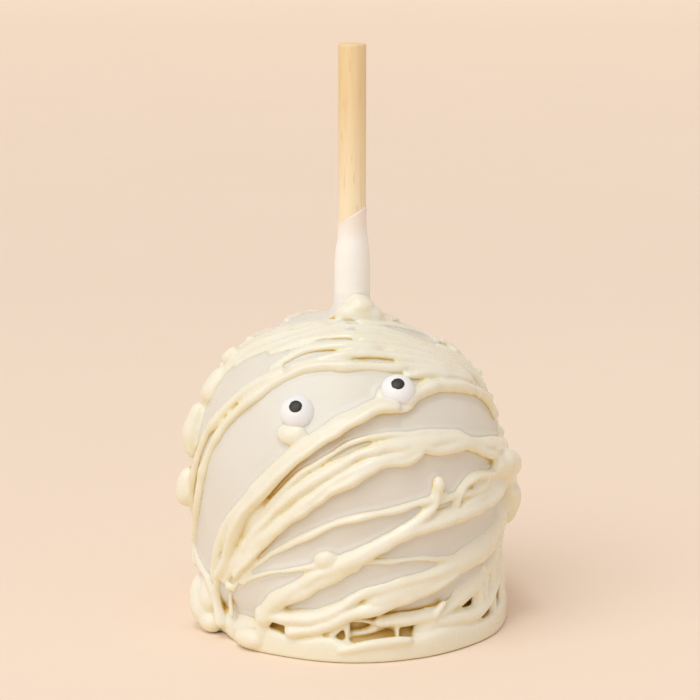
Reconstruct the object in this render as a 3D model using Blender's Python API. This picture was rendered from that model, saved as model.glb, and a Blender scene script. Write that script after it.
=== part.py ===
"""An apple on a wooden stick, dipped in white chocolate and wrapped in drizzled bands, with two sugar eyes.

Lengths are in metres. The origin is the centre of the underside, on the stick's axis. +Z is up, and the side with
the eyes faces -Y. A place on the apple is a (longitude, latitude) pair in degrees, seen from the apple's centre:
longitude 0 is the front and grows towards +X, and latitude 0 is the level where the apple is widest.
"""

from math import atan2, cos, degrees, exp, hypot, pi, radians, sin, tan

import bmesh
import bpy
import numpy as np
from mathutils import Matrix, Vector

# The coated apple. Its centre stands a little to the left of the stick.
CENTRE = Vector((-0.0009, 0.0, 0.031))
APPLE_RADIUS = 0.0357
SHOULDER_HEIGHT = 0.0413  # from the centre to the top
BELLY_DEPTH = 0.0310  # from the centre to the bottom
SHOULDER_SQUARENESS = 2.3  # 2 is an ellipse, and more is squarer
BELLY_SQUARENESS = 3.2
BELLY_END = -41  # latitudes where the apple's profile meets the foot and the collar
SHOULDER_END = 79

# The chocolate that ran down and set as a round foot.
FOOT_RADIUS = 0.0365
FOOT_HEIGHT = 0.0048
FOOT_EDGE = 0.0016  # how far its upper edge is rounded
FOOT_UNEVENNESS = 0.0005

# The chocolate that climbs the stick.
COLLAR_RADIUS = 0.00425
COLLAR_LIP_RADIUS = 0.00385
COLLAR_FLARE = 0.0026
COLLAR_FLARE_LENGTH = 0.0016
COLLAR_START = 0.0724
COLLAR_TOP = 0.0952
COLLAR_SLANT = 0.0021  # its right side ends this much higher than its middle

STICK_RADIUS = 0.003175
STICK_LENGTH = 0.1143
STICK_TOP = 0.1343
STICK_CHAMFER = 0.0005

# The sugar eyes: a domed white button, and a flat dark disc let into its face.
EYE_RADIUS = 0.0039
EYE_RIM = 0.0007  # height of the upright rim under the dome
EYE_HEIGHT = 0.0031
PUPIL_RADIUS = 0.00155
PUPIL_DEPTH = 0.0007
PUPIL_PROUD = 0.0003
EYES = {  # side: (place on the apple, direction it faces)
    "left": ((-22, 38.5), (-22, 38)),
    "right": ((23, 47), (10, 44)),
}

GAP = 0.0003  # between neighbouring pieces
SEGMENTS = 32  # round the apple
DEGREES_A_RING = 8

# The drizzle.
STEP_ALONG = 0.0022  # between the rings of a band
BAND_SIDES = 10
FUSE_SIZE = 0.0009  # crossings are melted together at this size
DRIZZLE_TRIANGLES_KEPT = 0.06
CURTAIN_SPREAD = 0.0005  # how far the hanging drizzle spreads between the apple's widest level and the foot
CURTAIN_END = 40

# Each band: width, height, whether it runs right round, and the places that it passes through.
BANDS = {
    "brow": (0.0036, 0.0030, True, (
        (38, 54), (0, 55.5), (-30, 51.5), (-48, 38.5), (-63, 20), (-75, 0), (-88, -20),
        (-130, -8), (180, 20), (120, 44))),
    "outer_brow": (0.0032, 0.0028, False, ((-30, 54), (-46, 45), (-61, 31), (-74, 10), (-86, -10), (-96, -26))),
    "crest": (0.0028, 0.0026, False, ((-44, 47), (-30, 61), (0, 63.5), (36, 60), (60, 49))),
    "upper_crest": (0.0028, 0.0026, False, ((-25, 68), (10, 68), (40, 66), (62, 56), (76, 42))),
    "crown": (0.0034, 0.0030, True, (
        (-86, 42), (-62, 66), (-20, 76), (40, 74), (66, 62), (82, 42), (130, 38), (180, 50), (-130, 50))),
    "eyelid": (0.0038, 0.0032, False, ((18, 42), (40, 45.5), (62, 45.5), (78, 38), (87, 20))),
    "cheek": (0.0062, 0.0034, True, (
        (42, 41), (20, 39), (-5, 32), (-27, 16), (-47, -8), (-68, -24),
        (-110, -20), (-150, 2), (165, 30), (120, 36), (78, 36))),
    "waist": (0.0056, 0.0036, True, (
        (80, 20), (48, 24), (30, 26), (4, 20), (-20, 3), (-36, -12), (-60, -27),
        (-110, -30), (-155, -14), (150, 8), (105, 17))),
    "thread": (0.0024, 0.0022, False, ((29, 7), (-4, -0.5), (-27, -12), (-52, -29))),
    "upper_belt": (0.0030, 0.0026, False, ((86, 16), (60, 13), (45, 8), (38, -1))),
    "fork": (0.0032, 0.0028, False, ((34, 13), (30, 6), (21, 0))),
    "belt": (0.0052, 0.0034, True, (
        (76, 3), (38, 0), (10, -7), (-15, -18), (-40, -31),
        (-84, -33), (-130, -30), (175, -14), (115, 0))),
    "hem": (0.0064, 0.0036, True, (
        (74, -3), (52, -13), (24, -23.5), (-9, -31.5), (-40, -34),
        (-84, -24), (-140, -10), (160, -22), (110, -12))),
    "skirt": (0.0044, 0.0032, True, (
        (90, -24), (58, -28), (26, -33), (-12, -34), (-56, -33), (-100, -34), (-150, -33), (150, -33))),
    "left_drip": (0.0040, 0.0034, False, ((-74, 4), (-80, -14), (-74, -33))),
    "left_bead": (0.0034, 0.0040, False, ((-94, 52), (-97, 34), (-98, 8), (-96, -6), (-84, -24))),
    "right_lump": (0.0062, 0.0058, False, ((84, 34), (88, 24), (89, 8), (87, -6))),
    "right_drip": (0.0044, 0.0034, False, ((80, 48), (86, 10), (84, -12), (80, -34))),
    "front_drip": (0.0036, 0.0030, False, ((6, -27), (8, -34))),
    "back_drip": (0.0044, 0.0034, False, ((150, 48), (158, 16), (172, -8), (176, -34))),
    "far_left_drip": (0.0040, 0.0032, False, ((-118, 48), (-112, 14), (-122, -34))),
}

WHITE_CHOCOLATE = (0.80, 0.72, 0.62, 1.0)
DRIZZLE_CHOCOLATE = (0.86, 0.77, 0.58, 1.0)
SUGAR_WHITE = (0.90, 0.88, 0.85, 1.0)
SUGAR_BLACK = (0.02, 0.015, 0.01, 1.0)
BIRCH = (0.82, 0.62, 0.37, 1.0)


def clear_scene():
    for obj in list(bpy.data.objects):
        bpy.data.objects.remove(obj, do_unlink=True)


def make_material(name, colour, roughness):
    material = bpy.data.materials.new(name)
    material.use_nodes = True
    shader = material.node_tree.nodes["Principled BSDF"]
    shader.inputs["Base Color"].default_value = colour
    shader.inputs["Roughness"].default_value = roughness
    shader.inputs["Metallic"].default_value = 0.0
    return material


def add_object(name, shape, material=None):
    """Turns a bmesh into a smooth-shaded object."""
    bmesh.ops.recalc_face_normals(shape, faces=shape.faces)
    mesh = bpy.data.meshes.new(name)
    shape.to_mesh(mesh)
    shape.free()
    mesh.shade_smooth()
    mesh.set_sharp_from_angle(angle=radians(50))
    obj = bpy.data.objects.new(name, mesh)
    bpy.context.scene.collection.objects.link(obj)
    if material:
        mesh.materials.append(material)
    return obj


def make_guide(obj):
    """Marks an object as a cutter, which is no part of the apple."""
    obj.hide_render = True
    obj.display_type = "WIRE"
    return obj


def cut(obj, cutter):
    modifier = obj.modifiers.new("cut_" + cutter.name, "BOOLEAN")
    modifier.operation = "DIFFERENCE"
    modifier.object = cutter


def skin_rings(shape, rings, closed=False):
    """Joins rings of points into a tube, with a flat face on each end unless the tube closes on itself."""
    loops = [[shape.verts.new(point) for point in ring] for ring in rings]
    pairs = list(zip(loops, loops[1:])) + ([(loops[-1], loops[0])] if closed else [])
    for lower, upper in pairs:
        for i, vertex in enumerate(lower):
            j = (i + 1) % len(lower)
            shape.faces.new((vertex, lower[j], upper[j], upper[i]))
    if not closed:
        shape.faces.new(loops[0][::-1])
        shape.faces.new(loops[-1])


def apple_profile(latitude, extra=0.0):
    """Distance from the axis and height above the centre, where a squarish oval has this latitude."""
    angle = radians(latitude)
    height, power = (
        (SHOULDER_HEIGHT, SHOULDER_SQUARENESS) if latitude >= 0 else (BELLY_DEPTH, BELLY_SQUARENESS)
    )
    across = abs(cos(angle) / APPLE_RADIUS) ** power
    upright = abs(sin(angle) / height) ** power
    reach = (across + upright) ** (-1 / power) + extra
    return reach * cos(angle), reach * sin(angle)


def on_apple(longitude, latitude, lift=0.0):
    out, up = apple_profile(latitude, lift)
    turn = radians(longitude)
    return CENTRE + Vector((out * sin(turn), -out * cos(turn), up))


def facing(longitude, latitude):
    turn, rise = radians(longitude), radians(latitude)
    return Vector((sin(turn) * cos(rise), -cos(turn) * cos(rise), sin(rise)))


def on_curtain(direction, lift):
    """The place where the drizzle lies in a direction: on the apple, and hanging straight down below its middle."""
    longitude = degrees(atan2(direction.x, -direction.y))
    latitude = degrees(atan2(direction.z, hypot(direction.x, direction.y)))
    if latitude >= 0:
        return on_apple(longitude, latitude, lift)
    fall = min(-latitude / CURTAIN_END, 1.0)
    out = APPLE_RADIUS + CURTAIN_SPREAD * fall + lift
    turn = radians(longitude)
    centre_x = CENTRE.x * (1 - fall)
    return Vector((centre_x + out * sin(turn), -out * cos(turn), CENTRE.z + out * tan(radians(latitude))))


# The coated apple


def foot_radius(turn):
    """The foot spread unevenly on its front left."""
    return FOOT_RADIUS + FOOT_UNEVENNESS * sin(3 * turn + 0.6) * sin(2 * turn)


def collar_radius(height):
    """A thin sleeve of chocolate that flares out onto the apple."""
    rise = height - COLLAR_START
    share = rise / (COLLAR_TOP - COLLAR_START)
    sleeve = COLLAR_RADIUS + (COLLAR_LIP_RADIUS - COLLAR_RADIUS) * share
    return sleeve + COLLAR_FLARE * exp(-rise / COLLAR_FLARE_LENGTH)


def coat_rings(grown=0.0):
    """The rings of the foot, the apple and the collar, from the bottom up, each grown outwards by the same amount."""
    rings = []

    def ring(radius_at, height_at, centre_x=0.0):
        turns = [2 * pi * i / SEGMENTS for i in range(SEGMENTS)]
        rings.append([
            (centre_x + radius_at(t) * sin(t), -radius_at(t) * cos(t), height_at(t)) for t in turns
        ])

    def foot_ring(inset, height):
        ring(lambda t: foot_radius(t) + grown - inset, lambda t: height)

    foot_ring(FOOT_EDGE / 2, -grown)
    foot_ring(0, FOOT_EDGE / 2)
    for tilt in (0, 30, 60, 90):
        inset = FOOT_EDGE * (1 - cos(radians(tilt)))
        foot_ring(inset, FOOT_HEIGHT + grown - FOOT_EDGE * (1 - sin(radians(tilt))))
    ring(lambda t: FOOT_RADIUS * 0.86, lambda t: FOOT_HEIGHT + grown)
    for latitude in range(BELLY_END, SHOULDER_END + 1, DEGREES_A_RING):
        out, up = apple_profile(latitude, grown)
        ring(lambda t: out, lambda t: CENTRE.z + up, CENTRE.x)
    for share in (0.0, 0.06, 0.14, 0.3, 0.65, 1.0):
        height = COLLAR_START + share * (COLLAR_TOP - COLLAR_START)
        ring(
            lambda t: collar_radius(height) + grown,
            lambda t: height + COLLAR_SLANT * share * sin(t) + (grown if share == 1 else 0),
        )
    return rings


def make_coated_apple(material):
    shape = bmesh.new()
    skin_rings(shape, coat_rings())
    apple = add_object("coated_apple", shape, material)
    socket = bmesh.new()
    socket_bottom = STICK_TOP - STICK_LENGTH - GAP
    rings = []
    for height in (socket_bottom, STICK_TOP):
        radius = STICK_RADIUS + GAP
        rings.append([(radius * cos(t), radius * sin(t), height) for t in np.linspace(0, 2 * pi, 24, endpoint=False)])
    skin_rings(socket, rings)
    cut(apple, make_guide(add_object("stick_socket", socket)))
    return apple


# The stick


def make_stick(material):
    bottom = STICK_TOP - STICK_LENGTH
    shape = bmesh.new()
    rings = []
    for radius, height in (
        (STICK_RADIUS - STICK_CHAMFER, bottom),
        (STICK_RADIUS, bottom + STICK_CHAMFER),
        (STICK_RADIUS, STICK_TOP - STICK_CHAMFER),
        (STICK_RADIUS - STICK_CHAMFER, STICK_TOP),
    ):
        rings.append([(radius * cos(t), radius * sin(t), height) for t in np.linspace(0, 2 * pi, 24, endpoint=False)])
    skin_rings(shape, rings)
    return add_object("stick", shape, material)


# The eyes


def turned(profile, sides=20):
    """A solid of revolution about Z from (radius, height) points, bottom first, whose ends are flat."""
    shape = bmesh.new()
    turns = np.linspace(0, 2 * pi, sides, endpoint=False)
    skin_rings(shape, [[(r * cos(t), r * sin(t), z) for t in turns] for r, z in profile])
    return shape


def eye_profile(grown=0.0):
    dome = EYE_HEIGHT - EYE_RIM
    points = [(EYE_RADIUS + grown - 0.0004, -grown), (EYE_RADIUS + grown, EYE_RIM / 2)]
    for rise in (0, 18, 36, 54, 72, 84):
        points.append((
            (EYE_RADIUS + grown) * cos(radians(rise)),
            EYE_RIM + (dome + grown) * sin(radians(rise)),
        ))
    return points


def make_eye(side, white, black):
    """The button stands just off the coat, and its disc lies in a recess with a gap all round."""
    place, look = EYES[side]
    normal = facing(*look)
    seat = on_apple(*place, lift=GAP * 2) + normal * GAP
    stand = Matrix.Translation(seat) @ normal.to_track_quat("Z", "Y").to_matrix().to_4x4()
    eye = add_object("eye_" + side, turned(eye_profile()), white)
    recess_floor = EYE_HEIGHT - PUPIL_DEPTH
    recess = turned([
        (PUPIL_RADIUS + GAP, recess_floor),
        (PUPIL_RADIUS + GAP, EYE_HEIGHT * 2),
    ], sides=20)
    recess = make_guide(add_object("pupil_recess_" + side, recess))
    cut(eye, recess)
    pupil = turned([
        (PUPIL_RADIUS, recess_floor + GAP),
        (PUPIL_RADIUS, EYE_HEIGHT + PUPIL_PROUD / 2),
        (PUPIL_RADIUS * 0.7, EYE_HEIGHT + PUPIL_PROUD),
    ], sides=20)
    pupil = add_object("pupil_" + side, pupil, black)
    clearance = make_guide(add_object("eye_clearance_" + side, turned(eye_profile(grown=GAP))))
    for obj in (eye, recess, pupil, clearance):
        obj.matrix_world = stand
    return clearance


# The drizzle


def through(places, closed):
    """A smooth path of directions from the apple's centre through all the places (Catmull-Rom)."""
    points = [np.array(facing(*place)) for place in places]
    if closed:
        points = [points[-1], *points, points[0], points[1]]
    else:
        points = [2 * points[0] - points[1], *points, 2 * points[-1] - points[-2]]
    path = []
    for a, b, c, d in zip(points, points[1:], points[2:], points[3:]):
        steps = max(2, round(np.linalg.norm(c - b) * APPLE_RADIUS / STEP_ALONG))
        for t in np.arange(steps) / steps:
            path.append(0.5 * (2 * b + (c - a) * t + (2 * a - 5 * b + 4 * c - d) * t**2 + (3 * b - a - 3 * c + d) * t**3))
    if not closed:
        path.append(points[-2])
    return [Vector(point).normalized() for point in path]


def add_band(shape, width, height, closed, places):
    """A flattened tube along the path, a third of its height sunk, with rounded ends."""
    directions = through(places, closed)
    centres = [on_curtain(direction, height * 0.2) for direction in directions]
    rings = []
    last = len(centres) - 1
    for i, (centre, direction) in enumerate(zip(centres, directions)):
        before = centres[i - 1] if i or closed else centre
        after = centres[(i + 1) % len(centres)] if i < last or closed else centre
        along = (after - before).normalized()
        outward = direction if direction.z > 0 else Vector((direction.x, direction.y, 0)).normalized()
        across = along.cross(outward).normalized()
        outward = across.cross(along)
        from_end = min(i, last - i)
        size = 1.0 if closed or from_end else 0.55
        rings.append([
            centre + size * (across * cos(t) * width / 2 + outward * sin(t) * height / 2)
            for t in np.linspace(0, 2 * pi, BAND_SIDES, endpoint=False)
        ])
    skin_rings(shape, rings, closed)


def make_drizzle(material, clearances):
    """All the bands melted into one web, then cleared of the coat and the eyes."""
    shape = bmesh.new()
    for band in BANDS.values():
        add_band(shape, *band)
    drizzle = add_object("drizzle", shape, material)
    fuse = drizzle.modifiers.new("fuse", "REMESH")
    fuse.mode = "VOXEL"
    fuse.voxel_size = FUSE_SIZE
    fuse.use_smooth_shade = True
    thin_out = drizzle.modifiers.new("thin_out", "DECIMATE")
    thin_out.ratio = DRIZZLE_TRIANGLES_KEPT
    for clearance in clearances:
        cut(drizzle, clearance)
    return drizzle


def main():
    clear_scene()
    chocolate = make_material("white_chocolate", WHITE_CHOCOLATE, 0.38)
    drizzle_chocolate = make_material("drizzle_chocolate", DRIZZLE_CHOCOLATE, 0.35)
    sugar_white = make_material("sugar_white", SUGAR_WHITE, 0.25)
    sugar_black = make_material("sugar_black", SUGAR_BLACK, 0.3)
    birch = make_material("birch", BIRCH, 0.6)

    make_coated_apple(chocolate)
    make_stick(birch)
    eye_clearances = [make_eye(side, sugar_white, sugar_black) for side in EYES]
    coat_clearance = bmesh.new()
    skin_rings(coat_clearance, coat_rings(grown=GAP))
    coat_clearance = make_guide(add_object("coat_clearance", coat_clearance))
    make_drizzle(drizzle_chocolate, [coat_clearance, *eye_clearances])


main()
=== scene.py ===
"""The looks of the drizzled toffee apple, laid out as a Blender add-on and run as a script.

Lengths are in metres unless a comment says millimetres. +Z is up, the front of the apple faces -Y, and the
origin is the centre of the underside, on the stick's axis. A place on the apple is a (longitude, latitude)
pair in degrees, seen from the apple's centre. Longitude 0 is the front and grows towards +X, and latitude 0
is the apple's widest level.
"""

from math import cos, pi, radians, sin

import bpy
import numpy as np
from mathutils import Matrix, Vector, noise
from mathutils.bvhtree import BVHTree


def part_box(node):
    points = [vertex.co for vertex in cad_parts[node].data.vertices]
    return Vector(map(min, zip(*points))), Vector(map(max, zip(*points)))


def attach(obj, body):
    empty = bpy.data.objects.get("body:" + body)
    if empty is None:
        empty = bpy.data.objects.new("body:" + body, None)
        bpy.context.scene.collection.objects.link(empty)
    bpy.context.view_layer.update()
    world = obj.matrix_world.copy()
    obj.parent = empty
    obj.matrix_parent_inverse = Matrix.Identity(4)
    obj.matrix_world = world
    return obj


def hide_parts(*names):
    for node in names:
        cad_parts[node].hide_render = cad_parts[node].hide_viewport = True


bl_info = {
    "name": "Drizzled Toffee Apple",
    "version": (1, 0, 0),
    "blender": (4, 5, 0),
    "location": "3D View > Sidebar > Toffee Apple",
    "description": "Makes a drizzled white chocolate apple on a stick, with sugar eyes, and a stage",
    "category": "Add Mesh",
}

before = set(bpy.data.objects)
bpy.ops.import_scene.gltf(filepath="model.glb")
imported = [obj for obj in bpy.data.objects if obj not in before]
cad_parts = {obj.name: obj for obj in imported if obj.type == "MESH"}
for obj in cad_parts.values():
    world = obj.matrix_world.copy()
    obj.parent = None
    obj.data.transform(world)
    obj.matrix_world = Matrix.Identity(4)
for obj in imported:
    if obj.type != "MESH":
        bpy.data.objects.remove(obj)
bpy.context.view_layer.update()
STICK_LOW, STICK_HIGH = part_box("stick")

MM = 0.001

# The apple's shape. Its sizes are the frame's, but its belly is squarer and its shoulders slope at the sides.
CENTRE = Vector((-0.0009, 0.0, 0.031))
APPLE_RADIUS = 0.0357
SHOULDER_HEIGHT, SHOULDER_SQUARENESS = 0.0413, 2.3
BELLY_DEPTH, BELLY_SQUARENESS = 0.0310, 4.5
BELLY_END, SHOULDER_END = -41.0, 79.0
SHOULDER_SLOPE, SHOULDER_LEAN = 0.026, 0.020
SLOPE_MIDDLE, SLOPE_SPREAD = 64.0, 13.0
CURTAIN_SPREAD, CURTAIN_END = 0.0005, 40.0
CURTAIN_TUCK, CURTAIN_TUCK_RIGHT = 0.0010, 0.0003
OUTWARD_TILT = 1.06  # how much faster than the latitude the way out tilts up

# The sugar eyes: the place on the apple, the direction that it faces, and how far it is pressed in, in
# millimetres
EYES = {
    "left": ((-21.6, 38.5), (-10, 40), 0.7),
    "right": ((23.1, 45.2), (0, 46), 0.0),
}

# The drizzle, in the order it was run on. Each strand has its width, its height and how far it is raised over
# the coat, in millimetres, and then the places that it passes through.
STRANDS = {
    # bands over the left side and the brow
    "brow_inner": (3.3, 2.9, -0.2, (
        (34, 53.4), (20, 54.5), (10, 54.9), (0, 55.2), (-10, 55), (-20, 54), (-28, 51.6), (-36, 47.2),
        (-43, 42), (-50, 36.6), (-56, 30.6), (-60, 25), (-64, 18.5), (-67.5, 11.5), (-70, 5), (-74, -3),
        (-79, -10), (-84, -17), (-83, -21), (-75, -23), (-69, -24.5), (-64, -26.5), (-61, -30),
        (-59.5, -34))),
    "brow_outer": (3.2, 2.8, 0, (
        (-33, 52.4), (-40, 48.9), (-48, 44.5), (-55, 39), (-62, 32), (-68, 25), (-72.5, 18), (-77, 10),
        (-83, 1), (-88, -7), (-92, -14), (-90, -21), (-84, -27))),
    "brow_upper": (3.0, 2.6, 0, (
        (-32, 52), (-20, 55.6), (-10, 57.8), (0, 59.5), (8, 60.2), (16, 60), (24, 59.3), (32, 58.2),
        (40, 56.8), (48, 54.8), (56, 51.8), (64, 48), (74, 43))),
    "crest": (3.0, 2.4, 0, (
        (-43, 50), (-38, 55), (-32, 59), (-25, 61.3), (-15, 62.9), (-5, 63.6), (5, 63.7), (15, 63.4),
        (25, 63.2), (35, 62.2), (45, 60), (54, 56.6), (62, 52), (72, 46))),
    "upper_crest": (3.6, 2.1, -0.1, (
        (-46, 59.5), (-30, 66), (-10, 68.7), (10, 69), (25, 68.2), (38, 67), (50, 64), (60, 60), (68, 55),
        (76, 49))),
    "right_sheet": (6.4, 1.8, -0.1, ((24, 63), (35, 61.4), (48, 57.8), (58, 53.5), (68, 48), (78, 42))),
    "left_rim": (4.2, 2.6, -0.4, (
        (-22, 75), (-34, 73.2), (-44, 70.6), (-53, 67.8), (-62, 65), (-71, 61), (-79, 55.8), (-84, 50),
        (-88, 44), (-91, 37), (-92, 30))),
    "left_rim_high": (6.4, 2.2, -0.7, (
        (-10, 80), (-45, 76), (-70, 70.5), (-84, 64), (-92, 56), (-97, 47), (-99, 38))),
    "left_sheet_2": (3.8, 1.8, -0.1, ((0, 72.5), (-18, 69), (-32, 65.5), (-44, 61.5), (-54, 56.5))),
    "left_sheet_1": (4.2, 1.9, -0.1, (
        (0, 77), (-20, 73), (-36, 69), (-48, 64.5), (-58, 60), (-68, 54.5), (-76, 48))),
    "top_ridge_1": (2.5, 1.9, -0.35, (
        (-6, 74), (15, 74.8), (35, 73.4), (52, 70.8), (64, 67), (74, 61), (84, 52), (92, 43), (94, 34))),
    "top_ridge_2": (2.4, 1.9, -0.15, (
        (6, 71.6), (25, 71.2), (42, 69.2), (54, 66.2), (64, 62), (76, 54), (86, 46), (92, 38))),
    "top_ridge_3": (2.4, 1.9, 0, (
        (8, 65.8), (25, 66), (38, 65), (50, 62.2), (60, 58.2), (72, 51), (82, 44), (90, 36))),
    "crown_2": (3.4, 1.6, -0.3, ((10, 78.5), (30, 78), (60, 76), (85, 71), (105, 64))),
    "crown_1": (4.0, 1.6, -0.2, ((-30, 83), (20, 83), (50, 81), (80, 78), (110, 75), (140, 75))),
    # bands beside the right eye and the right shoulder
    "eyelid": (3.9, 3.2, 0, ((22, 41.5), (31, 43.8), (40, 45.2), (47, 45), (54, 44), (62, 42.3), (69, 40))),
    "eyelid_tail": (2.9, 2.6, 0, ((56, 44), (62, 42.6), (70, 40), (76, 37), (81, 32.5), (85, 27))),
    "temple_1": (2.4, 2.4, 0, ((28, 50.2), (38, 50.4), (46, 49.4), (54, 47.6), (62, 46), (72, 43))),
    "temple_2": (2.6, 2.4, 0, ((30, 54.4), (38, 53.3), (46, 51.8), (54, 49.8), (62, 48.5), (72, 46))),
    "right_shoulder": (3.6, 2.2, -0.5, (
        (62, 68), (68, 62), (73, 56), (78, 50), (83, 44), (87, 37), (89, 30))),
    "right_rim": (3.6, 2.2, -0.3, ((80, 60), (87, 52), (92, 43), (94, 34), (94, 25), (92, 16))),
    # the broad band across the nose
    "nose_upper": (3.5, 3.0, 0, (
        (30, 42.5), (22, 42.2), (15, 41.2), (8, 39.7), (0, 36.9), (-6, 34), (-12, 30.8), (-18, 27.2),
        (-24, 22.4), (-30, 16.5), (-34.6, 11), (-39.8, 5.4), (-47.4, -2), (-53.6, -10), (-58.4, -18),
        (-62, -25))),
    "nose_lower": (3.3, 3.2, 0.8, (
        (22, 39.4), (14, 39.8), (7, 37.8), (0, 34.5), (-6, 31.2), (-12, 27.6), (-18, 23.4), (-24, 17.9),
        (-29, 12.8), (-34, 7.8), (-38.8, 3), (-43.6, -4), (-47.3, -11), (-51, -18), (-57, -24.5))),
    "nose_thread": (1.9, 1.7, 0, (
        (50, 28.2), (40, 30), (30, 31), (20, 31.2), (9.3, 30.7), (0, 28.5), (-6, 25.5), (-12, 22),
        (-17, 18.6), (-22, 14.4), (-27, 9), (-31, 3.6), (-34, -1.5), (-37, -6.5))),
    # the wavy band under it
    "wave_top": (3.4, 2.8, 0, (
        (102, 14.5), (90, 17), (82, 19), (74, 20.4), (66, 22), (57, 24.2), (48, 26.6), (40, 27.8),
        (30, 28.4), (20, 27.9), (10, 27), (3, 25.2), (-3, 22.3), (-10, 18.2), (-17, 13.4), (-23, 8.4),
        (-29, 2.6), (-34.5, -3.5), (-40, -10), (-47, -17), (-56, -24))),
    "wave_middle": (3.5, 3.1, 0.1, (
        (102, 9.5), (88, 11), (80, 13), (72, 16.2), (66, 18.4), (60, 20), (54, 22.6), (50, 24.7),
        (46, 25.1), (40, 24.7), (34, 24.8), (29, 26.3), (24, 25.6), (18, 24), (12, 23.2), (6, 21.4),
        (0, 18.8), (-6, 15.4), (-12, 11), (-18, 6.4), (-25, 0), (-32, -6), (-39, -12.5), (-46, -18.5),
        (-54, -25))),
    "wave_middle_end": (3.6, 3.2, 0.1, ((88, 13.5), (80, 16), (73, 18.6), (66, 20.2))),
    "wave_lower": (2.9, 2.9, 0.5, (
        (29, 25.8), (25.5, 23.9), (21, 22.1), (16, 21.9), (10, 21), (4, 18.3), (-1, 15.9), (-6, 12.9),
        (-10, 9.6), (-15, 6), (-20.5, 2.6), (-26.5, -2.4), (-31.5, -8), (-37, -13), (-42, -17.4),
        (-47, -21.5))),
    "mass": (6.0, 2.2, -0.7, ((-31, 8), (-35, 3), (-41.5, -5), (-47, -12), (-53, -18), (-59, -23.5))),
    "join": (5.4, 2.3, -0.1, ((-45, -16.5), (-50, -19.6), (-55, -22), (-60, -23.6), (-64, -25))),
    "thread": (2.0, 2.0, 0, (
        (38, 9.8), (34, 9.2), (29, 8), (22, 6.8), (15, 5.5), (8, 4), (0, 2.5), (-7, 0.2), (-16.5, -4.5),
        (-25, -9.2), (-30, -12), (-35.5, -16), (-40, -19.7), (-45, -23.3), (-49, -27))),
    # the belt and its branches
    "belt": (4.0, 3.4, 0, (
        (102, 10), (94, 9), (84, 7.5), (76, 5.6), (70, 4.3), (60, 2.6), (50, 1.7), (40, 1.1), (32, 0.3),
        (24, -1.7), (16, -4.3), (8, -7.8), (0, -11.8), (-5, -14), (-10, -16), (-15, -18.5), (-20, -21.5),
        (-26, -25), (-31, -28.5), (-36, -33))),
    "belt_end": (4.2, 3.2, -0.1, (
        (4, -11.5), (-4, -15.6), (-12, -19.2), (-20, -23.4), (-27, -27.2), (-32, -30.6), (-34.5, -34.5))),
    "belt_branch": (2.2, 2.2, 0, (
        (-6, -12.6), (-16, -15), (-22, -16.5), (-30, -18), (-38, -20.8), (-44, -23.8))),
    "fork": (2.6, 2.6, 0.2, ((33.6, 12.6), (33.2, 9.5), (31.8, 6.4), (28, 3.4), (23, 0), (18, -2.8))),
    "lattice_1": (2.6, 2.5, 0, (
        (88, 6), (80, 8.6), (70, 10.8), (62, 11.6), (56, 12.6), (50, 12.3), (46, 10.9), (43, 8),
        (41, 3))),
    "lattice_2": (2.2, 2.2, 0, ((60, 9.2), (50, 7.8), (44, 7.7), (38, 7.7), (32, 7))),
    "lattice_3": (2.8, 2.6, 0, ((86, 8), (74, 6.6), (64, 5.3), (56, 5), (48, 3.8), (41, 1))),
    "lattice_4": (2.2, 2.2, 0, ((61, 13), (59.5, 9), (58, 4))),
    "lattice_5": (2.4, 2.2, 0, ((70, 14), (69.5, 9), (70, 4))),
    "lattice_6": (5.0, 2.2, -0.2, ((88, 6), (78, 7), (68, 8), (59, 8.2))),
    "lattice_7": (3.0, 2.0, 0, ((84, 11), (74, 11.2), (64, 10.5))),
    "lattice_8": (4.6, 1.7, -0.3, ((74, 10.5), (62, 10.2), (51, 10.4))),
    "under_thread": (1.7, 1.6, 0.4, (
        (3, -12.6), (12, -12.4), (20, -12.6), (29, -13.2), (38, -14.2), (46, -15.4))),
    # the broad hem
    "hem_top": (3.4, 2.9, 0, (
        (45, -15.5), (36, -17.3), (27, -18.8), (20, -19.8), (13, -20.9), (6, -22.4), (0, -24.8),
        (-6, -28), (-14, -30.3), (-22, -31), (-30, -30.8), (-37, -32.5))),
    "hem": (6.6, 3.0, 0, (
        (102, -1.5), (95, -2.5), (88, -4), (79, -7), (70, -10), (60, -13), (50, -15), (40, -17.3),
        (30, -20.2), (20, -22.2), (12, -24), (5, -25.6))),
    "hem_rise": (6.0, 2.4, -0.3, ((90, 11), (86, 3), (79, -4), (70, -9))),
    "hem_lower": (3.6, 3.3, 0, (
        (44, -19.2), (36, -21), (30, -22.6), (20, -24.8), (13, -26.2), (6, -27.6), (-1, -29), (-8, -31.2),
        (-15, -33), (-25, -34))),
    "skirt": (5.6, 2.4, -0.2, (
        (102, -7), (94, -8), (86, -10), (78, -14.5), (70, -19), (60, -23), (52, -25.6), (45, -27.4),
        (40, -28.4))),
    "skirt_fill": (4.4, 2.0, -0.3, ((78, -21), (69, -26.5), (60, -29.3), (52, -31.2))),
    "skirt_left": (3.2, 2.2, -0.1, (
        (50, -26), (44, -28.2), (37, -30), (30, -31), (24, -31.3), (16, -31.3), (8, -31.2))),
    "skirt_lower": (3.4, 2.6, 0, (
        (74, -26), (66, -30), (58, -32.6), (50, -33.5), (42, -33.4), (36, -32.8), (32, -32.4))),
    "curl": (1.4, 1.5, 0.9, ((36.9, -27.7), (34.5, -28.8), (32.2, -30.3), (30.5, -32.6))),
    "bridge_upper": (1.6, 1.6, -1.1, ((-3, -30.6), (4, -31.0), (10, -31.9), (15, -32.8), (19, -33.8))),
    "bridge_lower": (1.6, 1.6, -1.1, ((-3, -34.6), (4, -34.2), (10, -33.4), (15, -32.4), (19, -31.4))),
    # short strands that hang down to the foot
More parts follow.
